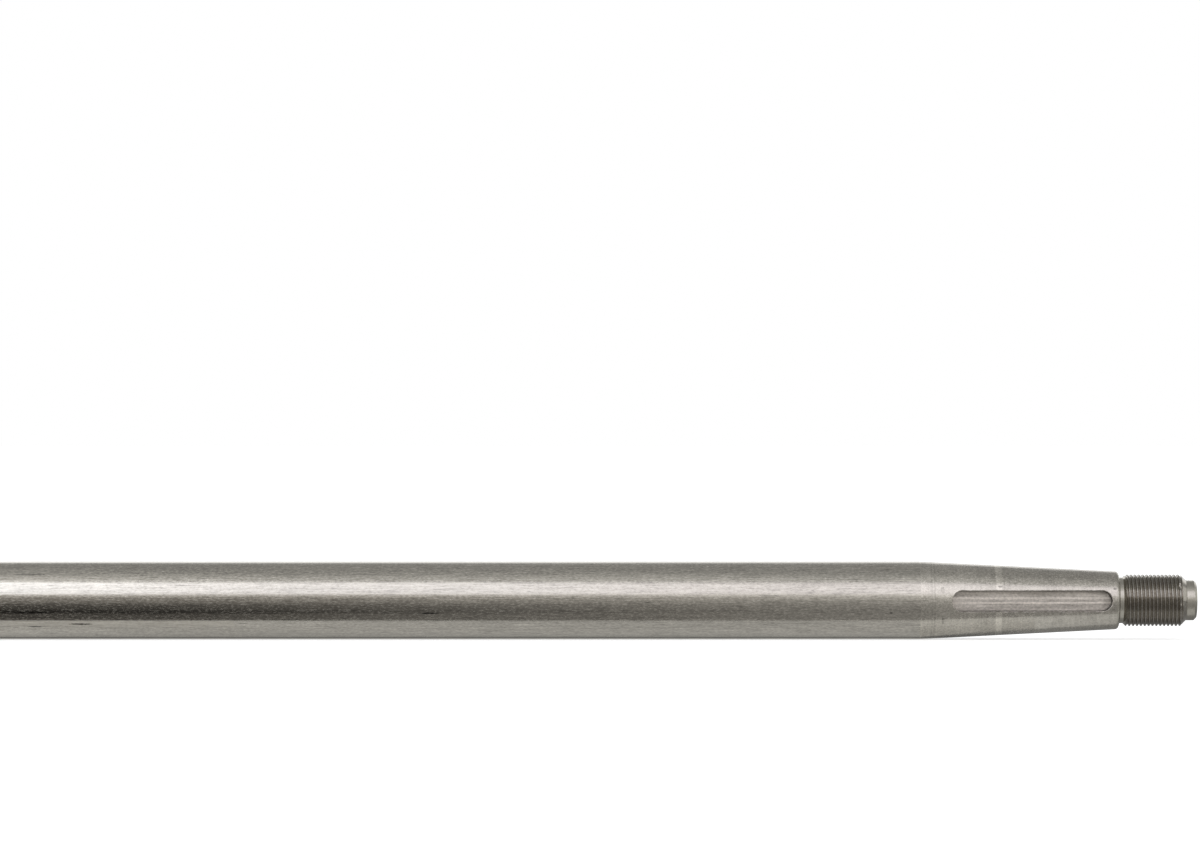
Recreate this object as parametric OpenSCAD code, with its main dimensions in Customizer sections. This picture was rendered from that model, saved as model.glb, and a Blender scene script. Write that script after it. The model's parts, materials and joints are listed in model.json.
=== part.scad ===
// Propeller shaft: one turned and milled bar of stainless steel.
// The origin is on the axis, where the bar meets the taper. +X runs to the nut end and +Z is up.
// The keyway opens towards -Y.

/* [Bar] */
// Length over all, from the plain end to the tip
shaft_len = 1000; // [300:10:2500]
// Diameter of the bar, which runs in the bearings
bar_d = 30; // [30:1:40]
// Chamfer on the plain end, at 45 degrees
plain_chamfer = 1.5; // [0.5:0.1:3]

/* [Propeller taper] */
// Length of the taper, along the axis
taper_len = 77; // [70:1:80]
// Length over which the taper loses one unit of diameter
taper_ratio = 10; // [10:1:16]
// Radius of the rounded edge at the taper's small end
shoulder_round = 1.5; // [0.3:0.1:1.5]

/* [Keyway] */
// Width of the keyway, which is also the diameter of its round ends
keyway_w = 8; // [5:0.5:10]
// Length of the keyway over its round ends
keyway_len = 62; // [40:1:64]
// Depth of the floor under the taper's side, the same all along
keyway_depth = 4; // [3:0.1:5]
// Steel left between the keyway and the small end
keyway_end_gap = 3; // [2:0.5:5]

/* [Nut end] */
// Outer diameter of the thread
thread_d = 20; // [18:1:20]
// Pitch of the thread, which sets the depth of its root
thread_pitch = 1.5; // [1.5:0.25:2]
// Distance from the taper's small end to the start of the dog point
thread_end = 26; // [20:0.5:40]
// Width of the relief groove's flat, next to the shoulder
relief_w = 1.6; // [1:0.1:4]
// Depth of the relief groove below the thread's root
relief_clearance = 0.23; // [0.1:0.01:0.5]
// Fillet where the groove meets the shoulder
relief_fillet = 0.4; // [0.1:0.1:0.5]

/* [Dog point] */
// Length of the plain dog point at the tip
dog_len = 4; // [2:0.5:10]
// Step from the thread's root down to the dog point
dog_step = 1.33; // [0.3:0.01:2]
// Chamfer on the tip, at 45 degrees
dog_chamfer = 1; // [0.3:0.1:1.5]

/* [Centre hole] */
// Diameter of the pilot drilling
centre_pilot_d = 3.15; // [2:0.05:4]
// Diameter of the 60 degree countersink at its mouth
centre_mouth_d = 6.7; // [5:0.1:8]
// Depth of the pilot drilling, to the end of its wall
centre_depth = 7; // [6:0.5:12]

/* [Hidden] */
$fn = 96;

// Radii
bar_r = bar_d / 2;
thread_r = thread_d / 2;
// A metric external thread is 0.6134 of its pitch deep
thread_root_r = thread_r - 0.6134 * thread_pitch;
relief_r = thread_root_r - relief_clearance;
dog_r = thread_root_r - dog_step;
centre_pilot_r = centre_pilot_d / 2;
centre_mouth_r = centre_mouth_d / 2;

// The taper's side falls by this angle against the axis
taper_angle = atan(1 / (2 * taper_ratio));

// Places along the axis
shoulder_x = taper_len;
dog_x = shoulder_x + thread_end;
tip_x = dog_x + dog_len;
plain_x = tip_x - shaft_len;

// The centre hole: a 60 degree cone, a straight pilot, and the drill's 118 degree point
centre_cone_len = (centre_mouth_r - centre_pilot_r) / tan(30);
centre_point_len = centre_pilot_r / tan(59);

// Steps in each rounded edge of the outline
ARC_STEPS = 8;

// How far the keyway's cutter reaches past the steel
CUT_OVER = 5;

// Points of an arc as [radius, axial place], from one angle to another
function arc(centre, radius, from, to) = [
    for (i = [0:ARC_STEPS])
        let (t = from + (to - from) * i / ARC_STEPS)
        [centre[0] + radius * sin(t), centre[1] + radius * cos(t)]
];

// The rounded edge touches the taper's side and the shoulder's face
round_x = shoulder_x - shoulder_round;
round_r = bar_r - round_x * tan(taper_angle) - shoulder_round / cos(taper_angle);

// Half of the shaft's long section, as [radius, axial place]
outline = concat(
    [
        [0, plain_x],
        [bar_r - plain_chamfer, plain_x],
        [bar_r, plain_x + plain_chamfer],
        [bar_r, 0]
    ],
    arc([round_r, round_x], shoulder_round, 90 - taper_angle, 0),
    arc([relief_r + relief_fillet, shoulder_x + relief_fillet], relief_fillet, 180, 270),
    [
        [relief_r, shoulder_x + relief_w],
        [thread_r, shoulder_x + relief_w + thread_r - relief_r],
        [thread_r, dog_x - thread_r + dog_r],
        [dog_r, dog_x],
        [dog_r, tip_x - dog_chamfer],
        [dog_r - dog_chamfer, tip_x],
        [centre_mouth_r, tip_x],
        [centre_pilot_r, tip_x - centre_cone_len],
        [centre_pilot_r, tip_x - centre_depth],
        [0, tip_x - centre_depth - centre_point_len]
    ]
);

// The bar, the taper, the relief groove, the nut end and the centre hole, turned in one outline
module turned_bar() {
    rotate([0, 90, 0])
        rotate_extrude()
            polygon(outline);
}

// Plan of the keyway: straight sides and round ends, with its far end at the origin
module keyway_plan() {
    end_r = keyway_w / 2;
    translate([-end_r, 0])
        circle(end_r);
    translate([end_r - keyway_len, 0])
        circle(end_r);
    translate([end_r - keyway_len, -end_r])
        square([keyway_len - keyway_w, keyway_w]);
}

// What the end mill takes out: its floor lies parallel to the taper's side
module keyway_cut() {
    side_len = taper_len / cos(taper_angle);
    translate([0, -bar_r, 0])
        rotate([0, 0, taper_angle])
            translate([side_len - keyway_end_gap, keyway_depth, 0])
                rotate([90, 0, 0])
                    linear_extrude(keyway_depth + CUT_OVER)
                        keyway_plan();
}

// The whole shaft
module shaft() {
    color("silver")
        difference() {
            turned_bar();
            keyway_cut();
        }
}

shaft();
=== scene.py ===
"""Looks of a propeller shaft: one bar of stainless steel, ground, turned, milled and threaded.

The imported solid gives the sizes. This script builds the same bar finely, with the helix of its
thread and the broken edges of its keyway, dresses each surface in the finish of the process that
made it, and lights it on a pale floor.
"""

import json
import logging
import math
from dataclasses import dataclass
from enum import Enum, IntEnum

import bmesh
import bpy
import numpy as np
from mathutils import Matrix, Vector, noise

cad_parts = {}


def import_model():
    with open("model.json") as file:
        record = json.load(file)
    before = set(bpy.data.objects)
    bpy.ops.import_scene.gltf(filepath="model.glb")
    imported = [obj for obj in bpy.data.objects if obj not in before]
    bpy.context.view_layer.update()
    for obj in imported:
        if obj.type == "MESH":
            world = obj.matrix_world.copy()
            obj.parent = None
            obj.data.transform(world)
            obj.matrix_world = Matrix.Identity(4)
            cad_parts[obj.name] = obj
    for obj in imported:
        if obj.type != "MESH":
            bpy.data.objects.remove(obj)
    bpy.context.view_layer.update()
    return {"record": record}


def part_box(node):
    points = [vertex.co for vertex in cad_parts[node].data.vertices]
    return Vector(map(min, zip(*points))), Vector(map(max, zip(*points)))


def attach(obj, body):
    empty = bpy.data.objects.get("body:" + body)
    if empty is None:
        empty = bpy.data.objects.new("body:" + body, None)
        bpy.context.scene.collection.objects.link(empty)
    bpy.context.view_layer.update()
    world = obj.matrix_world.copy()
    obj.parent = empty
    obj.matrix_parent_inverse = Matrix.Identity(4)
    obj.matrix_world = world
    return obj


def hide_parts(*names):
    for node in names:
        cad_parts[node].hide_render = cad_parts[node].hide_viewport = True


log = logging.getLogger("propeller_shaft")

MM = 0.001
MICROMETRE = 0.000001
NODE = "shaft"
BODY = "root"

Point = tuple[float, float, float]
Ring = list[bmesh.types.BMVert]
Tree = bpy.types.NodeTree
Socket = bpy.types.NodeSocket


def linear(hex_colour: str) -> tuple[float, float, float, float]:
    """Turns an sRGB hex colour into the linear colour that a shader takes.

    Args:
        hex_colour: Six hex digits with a leading hash.

    Returns:
        Red, green, blue and alpha, with alpha 1.
    """
    parts = [int(hex_colour[i:i + 2], 16) / 255 for i in (1, 3, 5)]
    red, green, blue = (c / 12.92 if c <= 0.04045 else ((c + 0.055) / 1.055) ** 2.4
                        for c in parts)
    return (red, green, blue, 1.0)


def add_node(tree: Tree, kind: str, feeds: dict | None = None,
             **settings: object) -> bpy.types.Node:
    """Adds one node to a tree, with its settings and what feeds its inputs.

    Args:
        tree: The node tree that gets it.
        kind: Blender's type name of the node.
        feeds: For an input's name or number, the socket linked to it or the value set on it.
        settings: The node's own properties.

    Returns:
        The new node.
    """
    node = tree.nodes.new(kind)
    for name, value in settings.items():
        setattr(node, name, value)
    for key, feed in (feeds or {}).items():
        if isinstance(feed, Socket):
            tree.links.new(feed, node.inputs[key])
        else:
            node.inputs[key].default_value = feed
    return node


def empty_tree(owner: bpy.types.Material | bpy.types.World) -> Tree:
    """Gives a material or a world a node tree with nothing in it.

    Args:
        owner: The new material or world.

    Returns:
        Its tree.
    """
    owner.use_nodes = True
    owner.node_tree.nodes.clear()
    return owner.node_tree


def add_object(name: str, data: bpy.types.ID) -> bpy.types.Object:
    """Adds an object to the scene.

    Args:
        name: The object's name.
        data: Its mesh or its camera.

    Returns:
        The new object.
    """
    made = bpy.data.objects.new(name, data)
    bpy.context.scene.collection.objects.link(made)
    return made


class Surface(IntEnum):
    """The surfaces of the bar, each the number of its material slot."""

    BAR = 0
    TAPER = 1
    KEYWAY = 2
    THREAD = 3
    NUT_END = 4
    FACE = 5
    WALL = 6


@dataclass(frozen=True)
class Sizes:
    """Sizes of the shaft in millimetres, and places along its axis from the taper's large end."""

    plain_x: float
    bar_from: float
    bar_r: float
    thread_r: float
    thread_from: float
    thread_to: float
    tip_x: float
    taper_len: float = 77.0
    taper_ratio: float = 10.0
    shoulder_round: float = 1.5
    relief_w: float = 1.6
    relief_fillet: float = 0.4
    thread_pitch: float = 1.5
    dog_len: float = 4.0
    dog_chamfer: float = 1.0
    keyway_w: float = 8.0
    keyway_len: float = 62.0
    keyway_depth: float = 4.0
    keyway_end_gap: float = 3.0
    centre_pilot_r: float = 1.575
    centre_mouth_r: float = 3.35
    centre_depth: float = 7.0
    # Halves of the countersink's 60 degrees and of the drill point's 118
    centre_half_angle: float = 30.0
    drill_half_angle: float = 59.0

    @classmethod
    def from_frame(cls, record: dict) -> "Sizes":
        """Reads the bar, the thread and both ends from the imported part.

        Args:
            record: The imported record, whose mounts give the journal and the thread.

        Returns:
            The sizes, in millimetres.
        """
        low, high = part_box(NODE)
        mounts = {m["name"]: m for m in record["mounts"]}
        journal = mounts["journal"]
        thread = mounts["nut_thread"]
        middle = thread["pos_m"][0] / MM
        half = thread["dims"]["length_mm"] / 2
        return cls(
            plain_x=low.x / MM,
            bar_from=journal["pos_m"][0] / MM - journal["dims"]["length_mm"] / 2,
            bar_r=journal["dims"]["r_mm"],
            thread_r=thread["dims"]["r_mm"],
            thread_from=middle - half,
            thread_to=middle + half,
            tip_x=high.x / MM,
        )

    @property
    def slope(self) -> float:
        """Angle of the taper's side against the axis, in radians."""
        return math.atan(0.5 / self.taper_ratio)

    @property
    def relief_r(self) -> float:
        """Radius of the relief groove, whose flank rises to the thread at 45 degrees."""
        return self.thread_r - (self.thread_from - self.taper_len - self.relief_w)

    @property
    def dog_x(self) -> float:
        """Place where the dog point starts."""
        return self.tip_x - self.dog_len

    @property
    def dog_r(self) -> float:
        """Radius of the dog point, to which the thread's end falls at 45 degrees."""
        return self.thread_r - (self.dog_x - self.thread_to)

    def taper_r(self, x: float) -> float:
        """Radius of the taper at a place along the axis."""
        return self.bar_r - x * math.tan(self.slope)


@dataclass
class Lathe:
    """Collects the rings and skins of one closed mesh about the X axis, in millimetres."""

    segments: int = 192

    def __post_init__(self) -> None:
        """Starts an empty mesh."""
        self.mesh = bmesh.new()
        turn = 2 * math.pi / self.segments
        self.turns = [(math.cos(i * turn), math.sin(i * turn)) for i in range(self.segments)]

    def vertex(self, x: float, r: float, i: int) -> bmesh.types.BMVert:
        """Adds a point at place x and radius r, on segment line i."""
        cos, sin = self.turns[i % self.segments]
        return self.mesh.verts.new((x * MM, r * cos * MM, r * sin * MM))

    def ring(self, x: float, r: float) -> Ring:
        """Adds a ring of points, or the one point on the axis where the radius is 0.

        Args:
            x: The ring's place along the axis.
            r: Its radius.

        Returns:
            The points.
        """
        if r == 0:
            return [self.vertex(x, 0, 0)]
        return [self.vertex(x, r, i) for i in range(self.segments)]

    def face(self, corners: Ring, surface: Surface) -> None:
        """Adds a face over the corners that differ, if at least three do.

        Args:
            corners: The face's corners, in order.
            surface: What the face belongs to.
        """
        own = list(dict.fromkeys(corners))
        if len(own) < 3:
            return
        face = self.mesh.faces.new(own)
        face.material_index = surface
        face.smooth = True

    def skin(self, first: Ring, second: Ring, surface: Surface) -> None:
        """Joins two rings, of which either may be a point on the axis.

        Args:
            first: The ring that comes first along the outline.
            second: The next ring.
            surface: What the faces between them belong to.
        """
        for i in range(self.segments):
            j = (i + 1) % self.segments
            a, b = first[i % len(first)], first[j % len(first)]
            c, d = second[j % len(second)], second[i % len(second)]
            self.face([a, b, c, d], surface)

    def outline(self, start: Ring, points: list[tuple[float, float]], surface: Surface) -> Ring:
        """Turns a run of outline points, each a place and a radius.

        Args:
            start: The ring that the run starts from.
            points: The next points of the outline.
            surface: What the faces belong to.

        Returns:
            The last ring.
        """
        for x, r in points:
            ring = self.ring(x, r)
            self.skin(start, ring, surface)
            start = ring
        return start


def arc(centre: tuple[float, float], radius: float, start: float, end: float,
        steps: int) -> list[tuple[float, float]]:
    """Points of an arc in the shaft's long section.

    Args:
        centre: Place and radius of the arc's centre.
        radius: The arc's own radius.
        start: Angle of its first point against the axis, in radians.
        end: Angle of its last point.
        steps: How many steps it has.

    Returns:
        Places and radii, both ends included.
    """
    angles = [start + (end - start) * i / steps for i in range(steps + 1)]
    return [(centre[0] + radius * math.cos(t), centre[1] + radius * math.sin(t)) for t in angles]


@dataclass(frozen=True)
class Bruise:
    """A knock that has flattened the thread's crests: its place, reach and depth in millimetres.

    The angle is about the axis in degrees, from +Y towards +Z.
    """

    x: float
    angle: float
    reach: float
    depth: float


@dataclass
class Thread:
    """The external metric thread, cut right-handed between the relief groove and the dog point."""

    sizes: Sizes
    bruises: tuple[Bruise, ...] = (Bruise(101.2, 146, 2.0, 0.55), Bruise(101.6, 183, 1.7, 0.4))
    # How uneven a bruise's bottom is, as a share of its depth, and the bumps per millimetre
    bruise_rough: float = 0.3
    bruise_grain: float = 1.6

    def profile(self) -> list[tuple[float, float]]:
        """Draws the thread's section over one pitch.

        Offsets and depths start as shares of the pitch, from the middle of a crest to the middle
        of a root. The crest's corners and the root are rounded, as a worn tool leaves them.

        Returns:
            Points of the section, each an offset along the axis and a radius.
        """
        half = [(0.0, 0.0), (0.07, 0.004), (0.13, 0.022), (0.185, 0.07), (0.24, 0.15),
                (0.385, 0.39), (0.42, 0.44), (0.46, 0.485), (0.5, 0.5)]
        other = [(1 - offset, depth) for offset, depth in reversed(half[1:-1])]
        pitch = self.sizes.thread_pitch
        return [(offset * pitch, self.sizes.thread_r - depth * pitch)
                for offset, depth in half + other]

    def left(self, x: float, turn: float) -> float:
        """Finds how much steel the bruises leave.

        Args:
            x: Place along the axis.
            turn: Angle about the axis, in radians.

        Returns:
            The greatest radius there.
        """
        r = self.sizes.thread_r
        low = r
        for bruise in self.bruises:
            across = math.remainder(turn - math.radians(bruise.angle), 2 * math.pi) * r
            away = math.hypot(x - bruise.x, across) / bruise.reach
            if away < 1:
                bump = noise.noise(Vector((x, across, 0)) * self.bruise_grain)
                rough = self.bruise_rough * bump
                low = min(low, r - bruise.depth * (1 - away ** 3 + rough))
        return low

    def cut(self, lathe: Lathe, start: Ring, end: Ring) -> None:
        """Skins the helix between two rings, which its runs fade into along 45 degree chamfers.

        Args:
            lathe: The mesh that the thread is part of.
            start: The ring at the foot of the chamfer in the relief groove.
            end: The ring at the foot of the chamfer at the dog point.
        """
        s = self.sizes
        section = self.profile()
        points = len(section)
        from_x = s.taper_len + s.relief_w
        turns = math.ceil((s.dog_x - from_x) / s.thread_pitch) + 1
        made = {}

        def place(i: int, m: int) -> bmesh.types.BMVert:
            """Finds a point of the helix, which at both ends is one of the end rings' own.

            Args:
                i: Number of the segment line.
                m: Number of the section's point, counted on from turn to turn.

            Returns:
                The point.
            """
            if i == lathe.segments:
                i, m = 0, m + points
            offset, r = section[m % points]
            x = from_x + s.thread_pitch * (m // points + i / lathe.segments) + offset
            if x <= from_x:
                return start[i]
            if x >= s.dog_x:
                return end[i]
            if (i, m) not in made:
                low = min(r, s.relief_r + x - from_x, s.dog_r + s.dog_x - x)
                low = min(low, self.left(x, 2 * math.pi * i / lathe.segments))
                made[i, m] = lathe.vertex(x, low, i)
            return made[i, m]

        # From two turns inside the groove, so that the helix is whole where it starts
        for m in range(-2 * points, turns * points):
            for i in range(lathe.segments):
                corners = [place(i, m), place(i + 1, m), place(i + 1, m + 1), place(i, m + 1)]
                lathe.face(corners, Surface.THREAD)


@dataclass
class Keyway:
    """The closed keyway with round ends, milled into the side of the taper that faces -Y."""

    sizes: Sizes
    # Width of the edge that the file has broken, which is worn wider on the upper side
    edge_break: float = 0.13
    edge_wear: float = 0.1
    edge_swing: float = 0.16
    edge_least: float = 0.04
    # Length over which the edge's width changes
    edge_period: float = 1.1
    # Radius between floor and wall
    corner: float = 0.25
    # Odd, so that no point of the ends falls on a line of the turned mesh
    end_steps: int = 41
    side_steps: int = 140
    # How far the cutter reaches above the taper's side
    reach: float = 6.0
    # Rounds in which the height of the rim is found
    rounds: int = 8

    def plan(self) -> list[tuple[float, float, float, float]]:
        """The keyway's outline, once round.

        Returns:
            For each point its place along the taper's side and across it, and the way outwards.
        """
        s = self.sizes
        r = s.keyway_w / 2
        far = s.taper_len / math.cos(s.slope) - s.keyway_end_gap - r
        near = far - s.keyway_len + s.keyway_w
        points = []
        for centre, other, side in ((far, near, 1), (near, far, -1)):
            for i in range(self.end_steps):
                t = math.pi * (i / self.end_steps - 0.5)
                out = (side * math.cos(t), side * math.sin(t))
                points.append((centre + r * out[0], r * out[1], *out))
            for i in range(self.side_steps):
                along = centre + (other - centre) * i / self.side_steps
                points.append((along, side * r, 0.0, side))
        return points

    def edge(self, along: float, across: float) -> float:
        """Finds how wide the edge is broken, uneven as a file leaves it.

        Args:
            along: Place of a point of the outline along the side.
            across: Its place across the side.

        Returns:
            The width there.
        """
        swing = noise.noise(Vector((along, across, 0)) / self.edge_period)
        worn = self.edge_wear * max(0.0, across) / (self.sizes.keyway_w / 2)
        return max(self.edge_least, self.edge_break + worn + self.edge_swing * swing)

    def point(self, along: float, across: float, height: float) -> Vector:
        """Turns a place on the taper's side into a point of the part's own frame.

        Args:
            along: Place along the taper's side, from its large end.
            across: Place across it, which is the height over the axis.
            height: Height over the side.

        Returns:
            The point, in metres.
        """
        s = self.sizes
        x = along * math.cos(s.slope) + height * math.sin(s.slope)
        y = along * math.sin(s.slope) - height * math.cos(s.slope) - s.bar_r
        return Vector((x, y, across)) * MM

    def rim_height(self, along: float, across: float) -> float:
        """Finds how high the taper's round surface is over its side line.

        Args:
            along: Place along the taper's side.
            across: Place across the side.

        Returns:
            The height, which is 0 or less.
        """
        height = 0.0
        for _ in range(self.rounds):
            x, y, z = self.point(along, across, height) / MM
            height -= math.hypot(y, z) - self.sizes.taper_r(x)
        return height

    def cutter(self) -> bpy.types.Object:
        """Builds the closed solid that the keyway takes out, with its broken edges.

        Returns:
            The cutter, with the number of its surface on each face.
        """
        mesh = bmesh.new()
        floor = -self.sizes.keyway_depth
        # The keyway's walls and their corner take the wall finish, darkened by painted shade
        skins = (Surface.WALL, Surface.WALL, Surface.KEYWAY, Surface.KEYWAY, Surface.KEYWAY)
        rings: list[Ring] = [[] for _ in range(len(skins) + 1)]
        for along, across, out_along, out_across in self.plan():
            edge = self.edge(along, across)
            # From the floor up: how far outside the outline, how high, and whether over the rim
            levels = ((-self.corner, floor, False), (0.0, floor + self.corner, False),
                      (0.0, -edge, True), (edge, 0.0, True), (2 * edge, edge, True),
                      (2 * edge, self.reach, False))
            for ring, (grow, level, on_rim) in zip(rings, levels):
                place = (along + grow * out_along, across + grow * out_across)
                base = self.rim_height(*place) if on_rim else 0.0
                ring.append(mesh.verts.new(self.point(*place, base + level)))
        count = len(rings[0])
        for low, high, surface in zip(rings, rings[1:], skins):
            for i in range(count):
                j = (i + 1) % count
                mesh.faces.new((low[i], low[j], high[j], high[i])).material_index = surface
        for cap in (reversed(rings[0]), rings[-1]):
            mesh.faces.new(cap).material_index = Surface.KEYWAY
        bmesh.ops.recalc_face_normals(mesh, faces=mesh.faces)
        for face in mesh.faces:
            face.smooth = True
        data = bpy.data.meshes.new("keyway_cutter")
        mesh.to_mesh(data)
        mesh.free()
        return add_object("keyway_cutter", data)


@dataclass
class Shaft:
    """The bar itself: turned outline, helix, keyway and finishes."""

    sizes: Sizes
    bar_step: float = 20.0
    taper_step: float = 4.0
    round_steps: int = 10
    fillet_steps: int = 6
    # Angle in degrees above which an edge of the mesh shows as sharp
    sharp_angle: float = 30.0

    def stations(self, start: float, end: float, step: float) -> list[float]:
        """Places spaced by about a step, without the first and with the last."""
        count = max(1, round((end - start) / step))
        return [start + (end - start) * (i + 1) / count for i in range(count)]

    def turn(self) -> bmesh.types.BMesh:
        """Turns the whole outline from the plain end to the bottom of the centre hole.

        Returns:
            The closed mesh, with the number of its surface on each face.
        """
        s = self.sizes
        lathe = Lathe()
        rim = (s.plain_x, s.bar_r - (s.bar_from - s.plain_x))
        last = lathe.outline(lathe.ring(s.plain_x, 0), [rim], Surface.FACE)
        last = lathe.outline(last, [(s.bar_from, s.bar_r)], Surface.NUT_END)
        bar = [(x, s.bar_r) for x in self.stations(s.bar_from, 0, self.bar_step)]
        last = lathe.outline(last, bar, Surface.BAR)
        round_x = s.taper_len - s.shoulder_round
        round_r = s.taper_r(round_x) - s.shoulder_round / math.cos(s.slope)
        edge = arc((round_x, round_r), s.shoulder_round, math.pi / 2 - s.slope, 0,
                   self.round_steps)
        taper = [(x, s.taper_r(x)) for x in self.stations(0, edge[0][0], self.taper_step)]
        last = lathe.outline(last, taper, Surface.TAPER)
        foot = (s.taper_len + s.relief_fillet, s.relief_r + s.relief_fillet)
        fillet = arc(foot, s.relief_fillet, math.pi, 1.5 * math.pi, self.fillet_steps)
        from_x = s.taper_len + s.relief_w
        groove = edge[1:] + fillet + [(from_x, s.relief_r)]
        last = lathe.outline(last, groove, Surface.NUT_END)
        dog = lathe.ring(s.dog_x, s.dog_r)
        Thread(s).cut(lathe, last, dog)
        point = [(s.tip_x - s.dog_chamfer, s.dog_r), (s.tip_x, s.dog_r - s.dog_chamfer)]
        last = lathe.outline(dog, point, Surface.NUT_END)
        last = lathe.outline(last, [(s.tip_x, s.centre_mouth_r)], Surface.FACE)
        cone = (s.centre_mouth_r - s.centre_pilot_r) / math.tan(math.radians(s.centre_half_angle))
        bottom = s.tip_x - s.centre_depth
        drill = s.centre_pilot_r / math.tan(math.radians(s.drill_half_angle))
        hole = [(s.tip_x - cone, s.centre_pilot_r), (bottom, s.centre_pilot_r), (bottom - drill, 0)]
        lathe.outline(last, hole, Surface.NUT_END)
        return lathe.mesh

    def build(self, materials: list[bpy.types.Material]) -> bpy.types.Object:
        """Builds the bar with its keyway and its finishes.

        Args:
            materials: One material per surface, in the order of Surface.

        Returns:
            The finished object.
        """
        turned = self.turn()
        data = bpy.data.meshes.new("propeller_shaft")
        turned.to_mesh(data)
        turned.free()
        piece = add_object("propeller_shaft", data)
        cutter = Keyway(self.sizes).cutter()
        for material in materials:
            data.materials.append(material)
            cutter.data.materials.append(material)
        mill = piece.modifiers.new("keyway", "BOOLEAN")
        mill.operation = "DIFFERENCE"
        mill.solver = "EXACT"
        mill.object = cutter
        graph = bpy.context.evaluated_depsgraph_get()
        piece.data = bpy.data.meshes.new_from_object(piece.evaluated_get(graph))
        piece.modifiers.clear()
        piece.data.name = "propeller_shaft"
        bpy.data.objects.remove(cutter)
        self.set_normals(piece.data)
        return piece

    def set_normals(self, mesh: bpy.types.Mesh) -> None:
        """Gives the bar and the taper the true normals of a cylinder and a cone.

        Args:
            mesh: The finished mesh, whose other surfaces are smooth up to the sharp angle.
        """
        mesh.set_sharp_from_angle(angle=math.radians(self.sharp_angle))
        normals = np.zeros((len(mesh.loops), 3))
        tilt = {Surface.BAR: 0.0, Surface.TAPER: self.sizes.slope}
        for face in mesh.polygons:
            if face.material_index in tilt:
                lean = tilt[face.material_index]
                for loop in face.loop_indices:
                    co = mesh.vertices[mesh.loops[loop].vertex_index].co
                    out = math.cos(lean) / math.hypot(co.y, co.z)
                    normals[loop] = (math.sin(lean), co.y * out, co.z * out)
        mesh.normals_split_custom_set(normals.tolist())


class Lay(Enum):
    """Which way the marks of a process run on the steel."""

    ALONG = "along the axis"
    ROUND = "round the axis"
    FACE = "in circles on an end face"
    ARCS = "in the arcs that an end mill leaves"


@dataclass(frozen=True)
class Marks:
    """One pattern of marks, drawn as noise that is stretched along the marks.

    Spacing and length are in millimetres and depth in micrometres. Tone and dull say how far
    the pattern swings the colour and the roughness: where the steel is paler it is duller too.
    Film is the share of matt oxide on the palest grains, which shows as specks in the dark band.
    With rare above 0, only the noise's rarest lows count, as single dark scratches.
    Detail is how many finer layers the noise has.
    """

    lay: Lay
    spacing: float
    length: float
    depth: float = 0.0
    tone: float = 0.0
    dull: float = 0.0
    film: float = 0.0
    rare: float = 0.0
    detail: float = 2.0


@dataclass(frozen=True)
class Spot:
    """One place where the steel is paler or darker, such as a nick or the ring that a fit left.

    Place and reach are in millimetres. An endless reach goes all the way round or along.
    """

    place: Point
    reach: Point
    tone: float


ENDLESS = math.inf
# Shares of a spot's reach between which it fades out, the fine pattern that breaks up its edge,
# and how far that shifts it
SPOT_FADE = (0.7, 1.1)
SPOT_EDGE = Marks(Lay.ALONG, spacing=0.6, length=0.9)
SPOT_RAGGED = 1.5
# How strong each finer layer of noise is, as a share of the one before
LAYER_SHARE = 0.6
# Span of the noise over which a rare scratch darkens
RARE_SPAN = 0.06
# Square of the radius of the end mill's arcs in millimetres, a little over that of the keyway's
# half width, so that the arcs reach its walls
MILL_ARC_SQUARE = 17.0
# Depth of a metric external thread as a share of its pitch
METRIC_DEPTH = 0.6134


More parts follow.
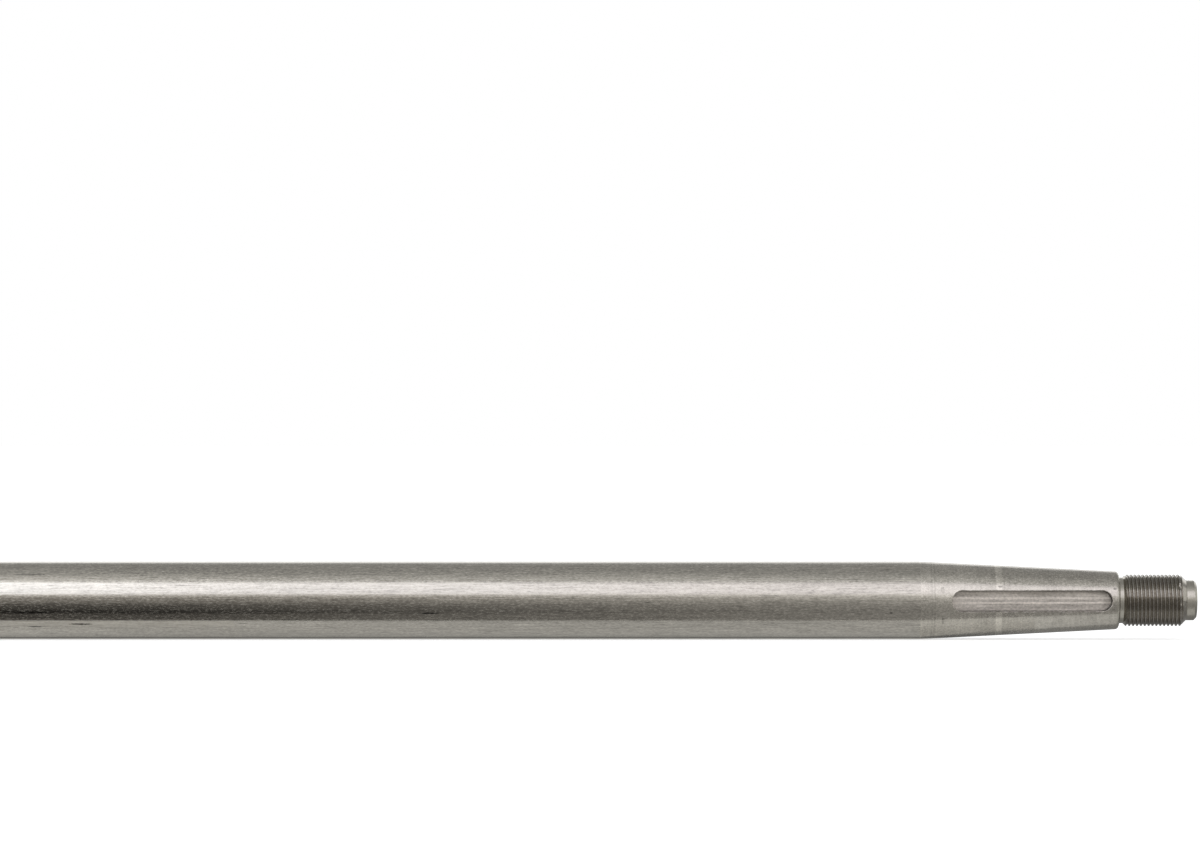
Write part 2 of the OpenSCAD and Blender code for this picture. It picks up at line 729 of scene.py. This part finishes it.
@dataclass(frozen=True)
class SteelFinish:
    """Stainless steel 316 as one process leaves it. Metal, so its IOR stays at the default."""

    name: str
    pale: str
    dark: str
    roughness: float
    marks: tuple[Marks, ...]
    spots: tuple[Spot, ...] = ()
    # Radii in millimetres between which the tone changes, and by how much: painted light, paler in
    # the thread's roots and darker on its crests, against the shade between its flanks
    painted_root_light: tuple[float, float, float] | None = None

    def position(self, tree: Tree) -> Socket:
        """Reads the place on the shaft, in millimetres."""
        place = add_node(tree, "ShaderNodeTexCoord").outputs["Object"]
        return add_node(tree, "ShaderNodeVectorMath", {0: place, "Scale": 1 / MM},
                        operation="SCALE").outputs[0]

    def radius(self, tree: Tree, place: Socket) -> Socket:
        """Works out the distance from the axis.

        Args:
            tree: The material's nodes.
            place: The place on the shaft, in millimetres.

        Returns:
            The distance.
        """
        plane = add_node(tree, "ShaderNodeVectorMath", {0: place, 1: (0, 1, 1)},
                         operation="MULTIPLY").outputs[0]
        return add_node(tree, "ShaderNodeVectorMath", {0: plane},
                        operation="LENGTH").outputs["Value"]

    def arcs(self, tree: Tree, split: bpy.types.NodeOutputs) -> Socket:
        """Bends the place along the keyway to the arc of the end mill that cut it.

        Args:
            tree: The material's nodes.
            split: The place on the shaft, split into its three parts.

        Returns:
            The bent place.
        """
        square = add_node(tree, "ShaderNodeMath", {0: split["Z"], 1: split["Z"]},
                          operation="MULTIPLY").outputs[0]
        rest = add_node(tree, "ShaderNodeMath", {0: MILL_ARC_SQUARE, 1: square},
                        operation="SUBTRACT").outputs[0]
        bow = add_node(tree, "ShaderNodeMath", {0: rest, 1: 0.5}, operation="POWER").outputs[0]
        return add_node(tree, "ShaderNodeMath", {0: split["X"], 1: bow},
                        operation="SUBTRACT").outputs[0]

    def pattern(self, tree: Tree, place: Socket, marks: Marks) -> Socket:
        """Draws one pattern, whose value is about 0 on average.

        Args:
            tree: The material's nodes.
            place: The place on the shaft, in millimetres.
            marks: The pattern.

        Returns:
            The value, from about -0.5 to 0.5.
        """
        across, along = 1 / marks.spacing, 1 / marks.length
        lead = place
        scale = (along, across, across)
        if marks.lay is not Lay.ALONG:
            split = add_node(tree, "ShaderNodeSeparateXYZ", {0: place}).outputs
            bent = split["X"]
            if marks.lay is Lay.ARCS:
                bent = self.arcs(tree, split)
            if marks.lay is Lay.FACE:
                bent = self.radius(tree, place)
            lead = add_node(tree, "ShaderNodeCombineXYZ",
                            {"X": bent, "Y": split["Y"], "Z": split["Z"]}).outputs[0]
            scale = (across, along, along)
        cells = add_node(tree, "ShaderNodeVectorMath", {0: lead, 1: scale},
                         operation="MULTIPLY").outputs[0]
        grain = add_node(tree, "ShaderNodeTexNoise",
                         {"Vector": cells, "Scale": 1.0, "Detail": marks.detail,
                          "Roughness": LAYER_SHARE}).outputs["Fac"]
        if marks.rare:
            return add_node(tree, "ShaderNodeMapRange",
                            {"Value": grain, "From Min": marks.rare - RARE_SPAN,
                             "From Max": marks.rare, "To Min": -0.5, "To Max": 0.0}).outputs[0]
        return add_node(tree, "ShaderNodeMath", {0: grain, 1: 0.5},
                        operation="SUBTRACT").outputs[0]

    def spot(self, tree: Tree, place: Socket, ragged: Socket, spot: Spot) -> Socket:
        """Works out a spot's share at a place: 1 inside, 0 outside, with a ragged edge.

        Args:
            tree: The material's nodes.
            place: The place on the shaft, in millimetres.
            ragged: A fine pattern that breaks the edge up.
            spot: The spot.

        Returns:
            The share.
        """
        away = add_node(tree, "ShaderNodeVectorMath", {0: place, 1: spot.place},
                        operation="SUBTRACT").outputs[0]
        shares = tuple(1 / reach for reach in spot.reach)
        scaled = add_node(tree, "ShaderNodeVectorMath", {0: away, 1: shares},
                          operation="MULTIPLY").outputs[0]
        far = add_node(tree, "ShaderNodeVectorMath", {0: scaled},
                       operation="LENGTH").outputs["Value"]
        broken = add_node(tree, "ShaderNodeMath", {0: ragged, 1: SPOT_RAGGED, 2: far},
                          operation="MULTIPLY_ADD").outputs[0]
        return add_node(tree, "ShaderNodeMapRange",
                        {"Value": broken, "From Min": SPOT_FADE[0], "From Max": SPOT_FADE[1],
                         "To Min": 1.0, "To Max": 0.0}).outputs[0]

    def height(self, tree: Tree, place: Socket) -> Socket:
        """Works out the height between the two radii of the painted root light.

        Args:
            tree: The material's nodes.
            place: The place on the shaft, in millimetres.

        Returns:
            The height, from -0.5 at the first radius to 0.5 at the second.
        """
        low, high = self.painted_root_light[:2]
        return add_node(tree, "ShaderNodeMapRange",
                        {"Value": self.radius(tree, place), "From Min": low, "From Max": high,
                         "To Min": -0.5, "To Max": 0.5}).outputs[0]

    def material(self) -> bpy.types.Material:
        """Builds the finish as a node material.

        Returns:
            The material.
        """
        made = bpy.data.materials.new(self.name)
        tree = empty_tree(made)
        place = self.position(tree)
        terms: list[tuple[str, Socket, float]] = []
        metal: Socket | float = 1.0
        normal = None
        for marks in self.marks:
            swing = self.pattern(tree, place, marks)
            terms += [("tone", swing, marks.tone), ("rough", swing, marks.dull)]
            if marks.film:
                metal = add_node(tree, "ShaderNodeMapRange",
                                 {"Value": swing, "From Min": 0.0, "From Max": 0.5,
                                  "To Min": 1.0, "To Max": 1.0 - marks.film}).outputs[0]
            if marks.depth:
                feeds = {"Strength": 1.0, "Distance": marks.depth * MICROMETRE, "Height": swing}
                if normal is not None:
                    feeds["Normal"] = normal
                normal = add_node(tree, "ShaderNodeBump", feeds).outputs[0]
        # Painted light: the thread's roots paler, its crests darker
        if self.painted_root_light:
            terms.append(("tone", self.height(tree, place), self.painted_root_light[2]))
        if self.spots:
            ragged = self.pattern(tree, place, SPOT_EDGE)
            terms += [("tone", self.spot(tree, place, ragged, spot), spot.tone)
                      for spot in self.spots]
        sums: dict[str, Socket | float] = {"tone": 0.5, "rough": self.roughness}
        for name, value, share in terms:
            if share:
                sums[name] = add_node(tree, "ShaderNodeMath", {0: value, 1: share, 2: sums[name]},
                                      operation="MULTIPLY_ADD").outputs[0]
        colour = add_node(tree, "ShaderNodeMix",
                          {"Factor": sums["tone"], "A": linear(self.dark),
                           "B": linear(self.pale)}, data_type="RGBA")
        shader = add_node(tree, "ShaderNodeBsdfPrincipled",
                          {"Base Color": colour.outputs["Result"], "Metallic": metal,
                           "Roughness": sums["rough"]})
        if normal is not None:
            tree.links.new(normal, shader.inputs["Normal"])
        add_node(tree, "ShaderNodeOutputMaterial", {"Surface": shader.outputs[0]})
        return made


def finishes(sizes: Sizes) -> list[SteelFinish]:
    """Lists the finishes of the bar's surfaces, in the order of Surface.

    The real marks of grinding, turning and milling are 0.05 mm to 0.2 mm apart, too fine to show
    in the render, so the finest ones are drawn as coarse as they need to show, 0.35 mm to 0.7 mm.

    Args:
        sizes: The shaft's sizes, for what depends on a place or a radius.

    Returns:
        One finish per surface.
    """
    root_r = sizes.thread_r - METRIC_DEPTH * sizes.thread_pitch
    return [
        # Bar steel, peeled and belt ground along its length: wavy, streaked and lightly pitted
        SteelFinish("ground_bar", "#ebe6da", "#3f3d3a", 0.2, (
            Marks(Lay.ALONG, spacing=1.1, length=3.6, depth=4, tone=0.18, detail=1.0),
            Marks(Lay.ALONG, spacing=0.45, length=1.2, depth=1, tone=0.3, dull=0.15, film=0.25,
                  detail=0.0),
            Marks(Lay.ALONG, spacing=0.45, length=10, tone=0.33, dull=0.1, detail=1.0),
            Marks(Lay.ALONG, spacing=9, length=70, tone=0.12),
            Marks(Lay.ALONG, spacing=0.8, length=9, tone=0.3, rare=0.34),
        ), spots=(
            # Long scratches, most of them towards the plain end
            Spot((-340.6, -11.4, -9.8), (3.4, 2, 0.28), -0.3),
            Spot((-322.9, -12.2, -8.8), (4.6, 2, 0.34), -0.4),
            Spot((-342.4, -14.3, -4.4), (8, 2, 0.4), -0.3),
            Spot((-343.1, -11.0, 10.2), (6, 2, 0.28), -0.25),
            Spot((-188.4, -14.3, -4.6), (4.4, 2, 0.34), -0.4),
            Spot((-153.2, -12.0, -9.0), (4.2, 2, 0.2), 0.15),
            # Pit
            Spot((-11.4, -14.3, -4.4), (0.6, 2, 0.45), -0.25),
        )),
        # Taper, turned and dressed with emery: evener and duller, clouded, with a few nicks
        SteelFinish("turned_taper", "#e7e2d6", "#3f3d3a", 0.23, (
            Marks(Lay.ALONG, spacing=1.2, length=2.2, depth=8, tone=0.18, detail=1.0),
            Marks(Lay.ALONG, spacing=0.5, length=0.8, depth=2, tone=0.34, dull=0.3, film=0.1,
                  detail=0.0),
            Marks(Lay.ROUND, spacing=0.5, length=12, depth=3, tone=0.2),
            Marks(Lay.ALONG, spacing=6, length=9, tone=0.25),
            Marks(Lay.ALONG, spacing=0.9, length=1.2, tone=0.7, rare=0.26),
        ), spots=(
            # Pale ring where a hub's mouth has sat
            Spot((30.2, 0, 0), (1.35, ENDLESS, ENDLESS), 0.19),
            # Paler zone over the taper's first 24 mm: painted light, which brightens its highlight
            # and dark band
            Spot((12.0, 0, 0), (12, ENDLESS, ENDLESS), 0.06),
            # The tool's first rings
            Spot((0.3, 0, 0), (0.35, ENDLESS, ENDLESS), 0.07),
            Spot((4.3, 0, 0), (0.3, ENDLESS, ENDLESS), -0.08),
            Spot((5.4, 0, 0), (0.3, ENDLESS, ENDLESS), -0.08),
            # Nicks
            Spot((8.4, -14.0, 4.3), (0.8, 3, 1.5), -0.14),
            Spot((8.6, -12.4, -7.6), (0.6, 3, 1.7), -0.16),
            Spot((30.6, -12.3, 5.6), (1.1, 3, 0.4), -0.3),
            Spot((75.0, -10.2, 4.7), (0.8, 3, 0.5), -0.3),
        )),
        # Keyway, cut by an end mill: matt, faintly pink, with the mill's arcs and pale streaks
        SteelFinish("milled_keyway", "#f3ece2", "#76716a", 0.5, (
            Marks(Lay.ARCS, spacing=0.7, length=5, depth=14, tone=0.3),
            Marks(Lay.ALONG, spacing=1.0, length=40, tone=0.7, detail=1.0),
            Marks(Lay.ALONG, spacing=0.6, length=1.1, depth=16, tone=0.75),
        ), spots=(
            # Two runs of the mill, side by side, and the lower one's duller border
            Spot((0, 0, 1.05), (ENDLESS, ENDLESS, 0.45), 0.28),
            Spot((0, 0, -0.75), (ENDLESS, ENDLESS, 0.3), 0.25),
            Spot((0, 0, -2.7), (ENDLESS, ENDLESS, 1.6), -0.07),
        )),
        # Thread, cut on the lathe: painted light makes its roots paler than its crests, against the
        # shade between its flanks
        SteelFinish("cut_thread", "#bab5aa", "#56534e", 0.15, (
            Marks(Lay.ALONG, spacing=0.6, length=0.8, depth=5, tone=0.5, dull=0.2, detail=1.0),
        ), painted_root_light=(root_r, sizes.thread_r, -0.4)),
        # Groove, dog point and chamfers, turned
        SteelFinish("turned_nut_end", "#ccc8bc", "#7b7870", 0.27, (
            Marks(Lay.ROUND, spacing=0.4, length=12, depth=5, tone=0.3),
            Marks(Lay.ALONG, spacing=0.6, length=0.9, depth=8, tone=0.4),
        )),
        # End faces, faced off on the lathe in fine circles
        SteelFinish("faced_end", "#ccc8bc", "#7b7870", 0.3, (
            Marks(Lay.FACE, spacing=0.35, length=9, depth=5, tone=0.4),
            Marks(Lay.ALONG, spacing=0.8, length=0.8, depth=6, tone=0.2),
        )),
        # Keyway's walls, cut by the mill's side and darkened by painted shade, as the shadow in the
        # recess
        SteelFinish("milled_wall_painted_shade", "#87837b", "#33312e", 0.45, (
            Marks(Lay.ALONG, spacing=0.6, length=1.1, depth=12, tone=0.5),
        )),
    ]


@dataclass(frozen=True)
class Station:
    """One line along a studio card: its place in metres and the light that it sends.

    The light is given for the shaft's inboard end and for its outboard end, the nut end.
    """

    y: float
    z: float
    inboard: float
    outboard: float


@dataclass(frozen=True)
class Card:
    """A pale or dark studio card that runs along the shaft and that the camera doesn't see.

    Its light and its tint change along the shaft. The fade gives places in metres and the share
    that the inboard level and tint have there, from 1 for these alone to 0 for the outboard ones.
    """

    name: str
    stations: tuple[Station, ...]
    fade: tuple[tuple[float, float], ...]
    tints: tuple[str, str] = ("#ffffff", "#ffffff")
    reach: tuple[float, float] = (-2.6, 2.6)


@dataclass
class Studio:
    """Camera, floor, world and cards."""

    sizes: Sizes
    photo_width: float = 1200.0
    sensor: float = 36.0
    distance: float = 2300.0
    # Scale of the photograph's long view, and the places of its tip and axis there
    pixels_per_mm: float = 2.587
    tip_px: float = 1195.8
    axis_px: float = 600.3
    centre_px: tuple[float, float] = (600.0, 432.0)
    # How near and how far the camera sees, in metres
    clip: tuple[float, float] = (0.05, 100.0)
    # Half of the floor's side, in metres
    floor_half: float = 30.0
    floor_colour: str = "#d3d3d3"
    floor_glow: float = 0.34
    # What the camera gets on top, which keeps the shaft's shadow faint
    camera_glow: float = 0.25
    # Height of the cards over the floor, and of each closer one over the last, in metres
    card_lift: float = 0.0004
    card_gap: float = 0.0001

    def camera(self) -> None:
        """Places the camera square to the shaft, where the photograph's framing puts it."""
        data = bpy.data.cameras.new("camera")
        data.sensor_width = self.sensor
        data.lens = self.pixels_per_mm * self.sensor * self.distance / self.photo_width
        data.clip_start, data.clip_end = self.clip
        camera = add_object("camera", data)
        x = self.sizes.tip_x - (self.tip_px - self.centre_px[0]) / self.pixels_per_mm
        z = (self.axis_px - self.centre_px[1]) / self.pixels_per_mm
        camera.location = Vector((x, -self.distance, z)) * MM
        camera.rotation_euler = (math.pi / 2, 0, 0)
        bpy.context.scene.camera = camera

    def world(self) -> None:
        """Makes a plain white ground all round, for every ray."""
        world = bpy.data.worlds.new("studio")
        tree = empty_tree(world)
        white = add_node(tree, "ShaderNodeBackground", {"Strength": 1.0, "Color": (1, 1, 1, 1)})
        add_node(tree, "ShaderNodeOutputWorld", {"Surface": white.outputs[0]})
        bpy.context.scene.world = world

    def floor_paint(self) -> bpy.types.Material:
        """Makes pale matt paper, which the rays of camera, gloss and glass see as white.

        Returns:
            The floor's material.
        """
        paint = bpy.data.materials.new("pale_floor")
        tree = empty_tree(paint)
        rays = add_node(tree, "ShaderNodeLightPath").outputs
        seen = add_node(tree, "ShaderNodeMath",
                        {0: rays["Is Camera Ray"], 1: rays["Is Glossy Ray"]},
                        operation="MAXIMUM").outputs[0]
        seen = add_node(tree, "ShaderNodeMath", {0: seen, 1: rays["Is Transmission Ray"]},
                        operation="MAXIMUM").outputs[0]
        matt = add_node(tree, "ShaderNodeBsdfDiffuse", {"Color": linear(self.floor_colour)})
        level = add_node(tree, "ShaderNodeMath",
                         {0: rays["Is Camera Ray"], 1: self.camera_glow, 2: self.floor_glow},
                         operation="MULTIPLY_ADD").outputs[0]
        glow = add_node(tree, "ShaderNodeEmission", {"Strength": level, "Color": (1, 1, 1, 1)})
        both = add_node(tree, "ShaderNodeAddShader", {0: matt.outputs[0], 1: glow.outputs[0]})
        mix = add_node(tree, "ShaderNodeMixShader",
                       {0: seen, 1: matt.outputs[0], 2: both.outputs[0]})
        add_node(tree, "ShaderNodeOutputMaterial", {"Surface": mix.outputs[0]})
        return paint

    def floor(self) -> None:
        """Lays the pale floor that the shaft rests on."""
        level = -self.sizes.bar_r * MM
        half = self.floor_half
        data = bpy.data.meshes.new("floor")
        corners = [(-half, -half, level), (half, -half, level), (half, half, level),
                   (-half, half, level)]
        data.from_pydata(corners, [], [(0, 1, 2, 3)])
        data.materials.append(self.floor_paint())
        floor = add_object("floor", data)

    def card_paint(self, card: Card) -> bpy.types.Material:
        """Makes a light of the colour and level that are stored at a card's points.

        Args:
            card: The card, whose name the material gets.

        Returns:
            The card's material.
        """
        paint = bpy.data.materials.new(card.name)
        tree = empty_tree(paint)
        light = add_node(tree, "ShaderNodeAttribute", attribute_name="light").outputs["Color"]
        glow = add_node(tree, "ShaderNodeEmission", {"Strength": 1.0, "Color": light})
        add_node(tree, "ShaderNodeOutputMaterial", {"Surface": glow.outputs[0]})
        return paint

    def card(self, card: Card) -> None:
        """Builds one card of the stage, as a grid whose points carry their light.

        Args:
            card: The card's stations and how its light changes along the shaft.
        """
        first, last = (card.reach[0], card.fade[0][1]), (card.reach[1], card.fade[-1][1])
        tint_in, tint_out = (linear(tint) for tint in card.tints)
        points, lights = [], []
        for x, share in (first, *card.fade, last):
            tint = [o + (i - o) * share for i, o in zip(tint_in, tint_out)]
            for s in card.stations:
                points.append((x, s.y, s.z))
                level = s.outboard + (s.inboard - s.outboard) * share
                lights += [level * tint[0], level * tint[1], level * tint[2], 1.0]
        row = len(card.stations)
        cells = [(i, i + row, i + row + 1, i + 1)
                 for i in range(len(points) - row) if (i + 1) % row]
        data = bpy.data.meshes.new(card.name)
        data.from_pydata(points, [], cells)
        data.attributes.new("light", "FLOAT_COLOR", "POINT").data.foreach_set("color", lights)
        data.materials.append(self.card_paint(card))
        made = add_object(card.name, data)
        # The cards are seen by the steel alone, so that the floor is lit evenly and stays white
        made.visible_camera = False
        made.visible_diffuse = False
        made.visible_shadow = False

    def cards(self) -> list[Card]:
        """Lists the cards, from the floor in front over the top to the floor behind.

        Returns:
            The cards.
        """
        floor = -self.sizes.bar_r * MM + self.card_lift
        paper = floor + self.card_gap
        foot = floor + 2 * self.card_gap
        return [
            # Dark cloth in front of the shaft, which gives the steel its dark band
            Card("front_cloth", (
                Station(-0.017, floor, 0.09, 0.41),
                Station(-0.0255, floor, 0.1, 0.42),
                Station(-0.0285, floor, 0.0, 0.39),
                Station(-0.034, floor, 0.0, 0.39),
                Station(-0.038, floor, 0.07, 0.42),
                Station(-0.06, floor, 0.08, 0.46),
                Station(-0.18, floor, 0.3, 0.56),
                Station(-1.2, floor, 0.33, 0.62),
                Station(-1.2, 0.147, 0.37, 0.66),
                Station(-1.2, 0.3, 0.63, 0.96),
                Station(-1.2, 0.41, 1.1, 1.25),
            ), fade=((-0.36, 0.94), (-0.29, 0.9), (-0.23, 0.75), (-0.1, 0.36), (0.03, 0.0)),
                 tints=("#fffaf5", "#fffdfb")),
            # Paper close in front of the shaft that the steel alone sees, paler at the coupling's
            # side as painted light, and greyer beside it up to the taper; on both, light falls
            # towards the shaft as painted shade of its shadow on the floor
            Card("near_paper_painted_light_and_shade", (
                Station(-0.0118, paper, 0.67, 0.65),
                Station(-0.0095, paper, 0.74, 0.63),
                Station(-0.0076, paper, 0.71, 0.59),
                Station(-0.0062, paper, 0.59, 0.55),
                Station(-0.0051, paper, 0.5, 0.48),
            ), fade=((-0.32, 1.0), (-0.295, 0.3), (-0.27, 0.0)), reach=(-2.6, -0.265)),
            # Greyer paper beside it, whose light falls towards the shaft as painted shade
            Card("grey_paper_painted_shade", (
                Station(-0.0168, paper, 0.71, 0.64),
                Station(-0.0145, paper, 0.7, 0.65),
                Station(-0.0118, paper, 0.67, 0.65),
                Station(-0.0095, paper, 0.63, 0.65),
                Station(-0.0076, paper, 0.59, 0.65),
                Station(-0.0062, paper, 0.55, 0.57),
                Station(-0.0051, paper, 0.48, 0.47),
            ), fade=((-0.264, 1.0), (-0.2, 0.2), (-0.15, 0.0)), reach=(-0.265, 0.0)),
            # Darker sheet under the nut end, which stands clear of the floor and would look too
            # bright below: painted shade, standing for the shadow that the end casts on the floor
            Card("end_painted_shade", (
                Station(-0.0168, floor, 0.85, 0.72),
                Station(0.0168, floor, 0.6, 0.5),
            ), fade=((0.046, 1.0), (0.085, 0.0)), reach=(0.045, 0.16)),
            # Dark sheet under the shaft, where it rests on the floor: painted shade, which the
            # steel reflects as the dark line of its shadow there
            Card("painted_contact_shade", (
                Station(-0.005, foot, 0.28, 0.42),
                Station(-0.0035, foot, 0.1, 0.38),
                Station(0.0, foot, 0.04, 0.3),
                Station(0.0178, foot, 0.12, 0.3),
            ), fade=((0.0, 1.0), (0.045, 0.0))),
            # Softbox in front and above, whose image is the highlight
            Card("softbox", (
                Station(-1.42, 0.489, 2.6, 1.6),
                Station(-1.04, 0.983, 2.5, 1.6),
                Station(-0.98, 1.061, 3.3, 1.65),
                Station(-0.839, 1.244, 3.65, 0.8),
            ), fade=((-0.5, 0.93), (-0.45, 0.78), (-0.435, 0.28), (-0.385, 0.29), (-0.345, 0.33),
                     (-0.29, 0.39), (-0.25, 0.54), (-0.21, 0.53), (-0.13, 0.09), (-0.05, 0.01),
                     (0.05, 0.12)), tints=("#f3f6ff", "#f9f6fd")),
            # Ceiling from the softbox to the back, for the shaft's upper part
            Card("ceiling", (
                Station(-0.83, 1.25, 1.18, 0.78),
                Station(-0.58, 1.25, 1.1, 0.71),
                Station(-0.27, 1.25, 0.82, 0.58),
                Station(0.0, 1.25, 0.61, 0.44),
                Station(0.67, 1.25, 0.43, 0.43),
                Station(1.9, 1.25, 0.42, 0.45),
            ), fade=((-0.43, 1.0), (-0.41, 0.01), (-0.36, 0.04), (-0.32, 0.33), (-0.2, 0.33),
                     (0.05, 0.05))),
            # Pale strip and dark cloth behind, for the upper edge and the far side
            Card("rear_strip", (
                Station(1.95, 1.1, 1.5, 1.3),
                Station(2.1, 0.47, 1.5, 1.3),
            ), fade=((-0.6, 1.0), (0.2, 0.0))),
            Card("rear_cloth", (
                Station(2.1, 0.44, 0.6, 0.7),
                Station(2.1, floor, 0.3, 0.4),
                Station(0.06, floor, 0.15, 0.42),
                Station(0.0178, floor, 0.15, 0.42),
            ), fade=((-0.4, 1.0), (0.1, 0.0))),
        ]

    def build(self) -> None:
        """Builds the whole studio."""
        self.world()
        self.floor()
        for card in self.cards():
            self.card(card)


def main() -> None:
    """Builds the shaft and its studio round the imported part."""
    logging.basicConfig(level=logging.INFO, format="%(name)s: %(message)s")
    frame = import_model()
    sizes = Sizes.from_frame(frame["record"])
    bpy.context.scene.view_settings.view_transform = "Standard"
    studio = Studio(sizes)
    studio.camera()
    piece = Shaft(sizes).build([finish.material() for finish in finishes(sizes)])
    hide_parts(NODE)
    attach(piece, BODY)
    log.info("%s: %d faces", piece.name, len(piece.data.polygons))
    studio.build()
    log.info("studio: floor and %d cards", len(studio.cards()))


if __name__ == "__main__":
    main()
